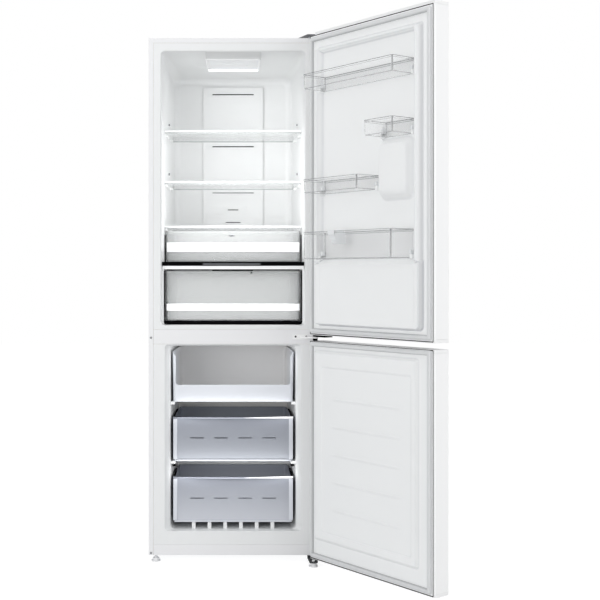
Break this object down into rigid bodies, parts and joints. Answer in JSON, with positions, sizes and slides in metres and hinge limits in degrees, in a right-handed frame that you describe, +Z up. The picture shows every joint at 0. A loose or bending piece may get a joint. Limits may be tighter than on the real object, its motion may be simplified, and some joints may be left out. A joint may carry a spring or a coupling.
{
  "type": "bottom freezer refrigerator",
  "caption": "Tall free-standing refrigerator above a drawer freezer, with swinging doors, glass shelves, lift-off door bins, a slide-out basket and drawers.",
  "frame": {"origin": "on the floor, under the middle of the outer box of the whole thing as it stands with its doors open", "axes": "+X to the hinge side, +Y from the front to the back, +Z up"},
  "size_m": [0.9632, 1.0683, 1.8613],
  "materials": {
    "white_steel": "satin",
    "white_caps": "satin",
    "liner_plastic": "satin",
    "white_trim": "satin",
    "seal_rubber": "matt",
    "foam": "matt",
    "black_plastic": "matt",
    "dark_plastic": "matt",
    "zinc_steel": "satin",
    "black_steel": "satin",
    "dark_steel": "satin",
    "fins": "satin",
    "clear_plastic": "clear",
    "frosted_plastic": "frosted",
    "shelf_glass": "clear",
    "lamp_lens": "satin"
  },
  "bodies": {
    "cabinet": {"cabinet_wrapper": "white_steel", "back_panel": "zinc_steel", "insulation_foam": "foam", "fridge_liner": "liner_plastic", "freezer_liner": "liner_plastic", "cross_beam": "white_steel", "base_rail": "white_steel", "floor_pan": "zinc_steel", "compressor_tray": "zinc_steel", "compressor": "black_steel", "drip_tray": "dark_plastic", "compressor_cover": "zinc_steel", "evaporator_coil": "fins", "freezer_back_panel": "liner_plastic", "air_duct_panel": "liner_plastic", "lamp_housing": "white_trim", "lamp_diffuser": "lamp_lens", "shelf_1_glass": "shelf_glass", "shelf_1_front_trim": "white_trim", "shelf_1_rear_trim": "white_trim", "shelf_2_glass": "shelf_glass", "shelf_2_front_trim": "white_trim", "shelf_2_rear_trim": "white_trim", "shelf_3_glass": "shelf_glass", "shelf_3_front_trim": "white_trim", "shelf_3_rear_trim": "white_trim", "crisper_cover": "white_trim", "crisper_runner_frame": "black_plastic", "chill_runner_frame": "black_plastic", "top_hinge": "zinc_steel", "top_hinge_cover": "dark_plastic", "middle_hinge": "white_steel", "bottom_hinge": "dark_steel"},
    "upper_door": {"upper_door_skin": "white_steel", "upper_door_foam": "foam", "upper_door_liner": "liner_plastic", "upper_door_gasket": "seal_rubber", "upper_door_top_cap": "white_caps", "upper_door_bottom_cap": "white_caps"},
    "lower_door": {"lower_door_skin": "white_steel", "lower_door_foam": "foam", "lower_door_liner": "liner_plastic", "lower_door_gasket": "seal_rubber", "lower_door_top_cap": "white_caps", "lower_door_bottom_cap": "white_caps"},
    "chill_drawer": {"chill_drawer": "clear_plastic"},
    "crisper_drawer": {"crisper_drawer": "clear_plastic"},
    "freezer_basket": {"freezer_basket": "white_trim"},
    "freezer_drawer_upper": {"freezer_drawer_upper": "frosted_plastic"},
    "freezer_drawer_lower": {"freezer_drawer_lower": "frosted_plastic"},
    "top_bin": {"top_bin": "clear_plastic"},
    "egg_bin": {"egg_bin": "clear_plastic"},
    "jar_bin": {"jar_bin": "clear_plastic"},
    "bottle_bin": {"bottle_bin": "clear_plastic"},
    "bottle_holder": {"bottle_holder": "clear_plastic"},
    "left_foot": {"left_foot": "white_trim"},
    "right_foot": {"right_foot": "white_trim"},
    "left_roller": {"left_roller": "dark_plastic"},
    "right_roller": {"right_roller": "dark_plastic"},
    "evaporator_fan": {"evaporator_fan": "dark_plastic"}
  },
  "joints": [
    {"name": "upper_door_swing", "type": "hinge", "parent": "cabinet", "child": "upper_door", "pos_m": [0.10237, -0.04564, 0], "axis": [0, 0, 1], "range_deg": [-126, 8]},
    {"name": "lower_door_swing", "type": "hinge", "parent": "cabinet", "child": "lower_door", "pos_m": [0.10237, -0.04564, 0], "axis": [0, 0, 1], "range_deg": [-126, 8]},
    {"name": "chill_drawer_slide", "type": "slide", "parent": "cabinet", "child": "chill_drawer", "axis": [0, -1, 0], "range_m": [0, 0.2]},
    {"name": "crisper_drawer_slide", "type": "slide", "parent": "cabinet", "child": "crisper_drawer", "axis": [0, -1, 0], "range_m": [0, 0.22]},
    {"name": "freezer_basket_slide", "type": "slide", "parent": "cabinet", "child": "freezer_basket", "axis": [0, -1, 0], "range_m": [0, 0.24]},
    {"name": "freezer_drawer_upper_slide", "type": "slide", "parent": "cabinet", "child": "freezer_drawer_upper", "axis": [0, -1, 0], "range_m": [0, 0.24]},
    {"name": "freezer_drawer_lower_slide", "type": "slide", "parent": "cabinet", "child": "freezer_drawer_lower", "axis": [0, -1, 0], "range_m": [0, 0.19]},
    {"name": "top_bin_lift", "type": "slide", "parent": "upper_door", "child": "top_bin", "axis": [0, 0, 1], "range_m": [0, 0.035]},
    {"name": "egg_bin_lift", "type": "slide", "parent": "upper_door", "child": "egg_bin", "axis": [0, 0, 1], "range_m": [0, 0.035]},
    {"name": "jar_bin_lift", "type": "slide", "parent": "upper_door", "child": "jar_bin", "axis": [0, 0, 1], "range_m": [0, 0.035]},
    {"name": "bottle_bin_lift", "type": "slide", "parent": "upper_door", "child": "bottle_bin", "axis": [0, 0, 1], "range_m": [0, 0.035]},
    {"name": "bottle_holder_slide", "type": "slide", "parent": "bottle_bin", "child": "bottle_holder", "axis": [0.5878, -0.809, 0], "range_m": [-0.11, 0.24]},
    {"name": "left_foot_screw", "type": "slide", "parent": "cabinet", "child": "left_foot", "axis": [0, 0, 1], "range_m": [-0.01, 0]},
    {"name": "right_foot_screw", "type": "slide", "parent": "cabinet", "child": "right_foot", "axis": [0, 0, 1], "range_m": [-0.01, 0]},
    {"name": "left_roller_spin", "type": "hinge", "parent": "cabinet", "child": "left_roller", "pos_m": [-0.42113, 0.50936, 0.014], "axis": [1, 0, 0], "continuous": true},
    {"name": "right_roller_spin", "type": "hinge", "parent": "cabinet", "child": "right_roller", "pos_m": [0.05087, 0.50936, 0.014], "axis": [1, 0, 0], "continuous": true},
    {"name": "fan_spin", "type": "hinge", "parent": "cabinet", "child": "evaporator_fan", "pos_m": [-0.18513, 0.37336, 0.655], "axis": [0, 1, 0], "continuous": true}
  ]
}
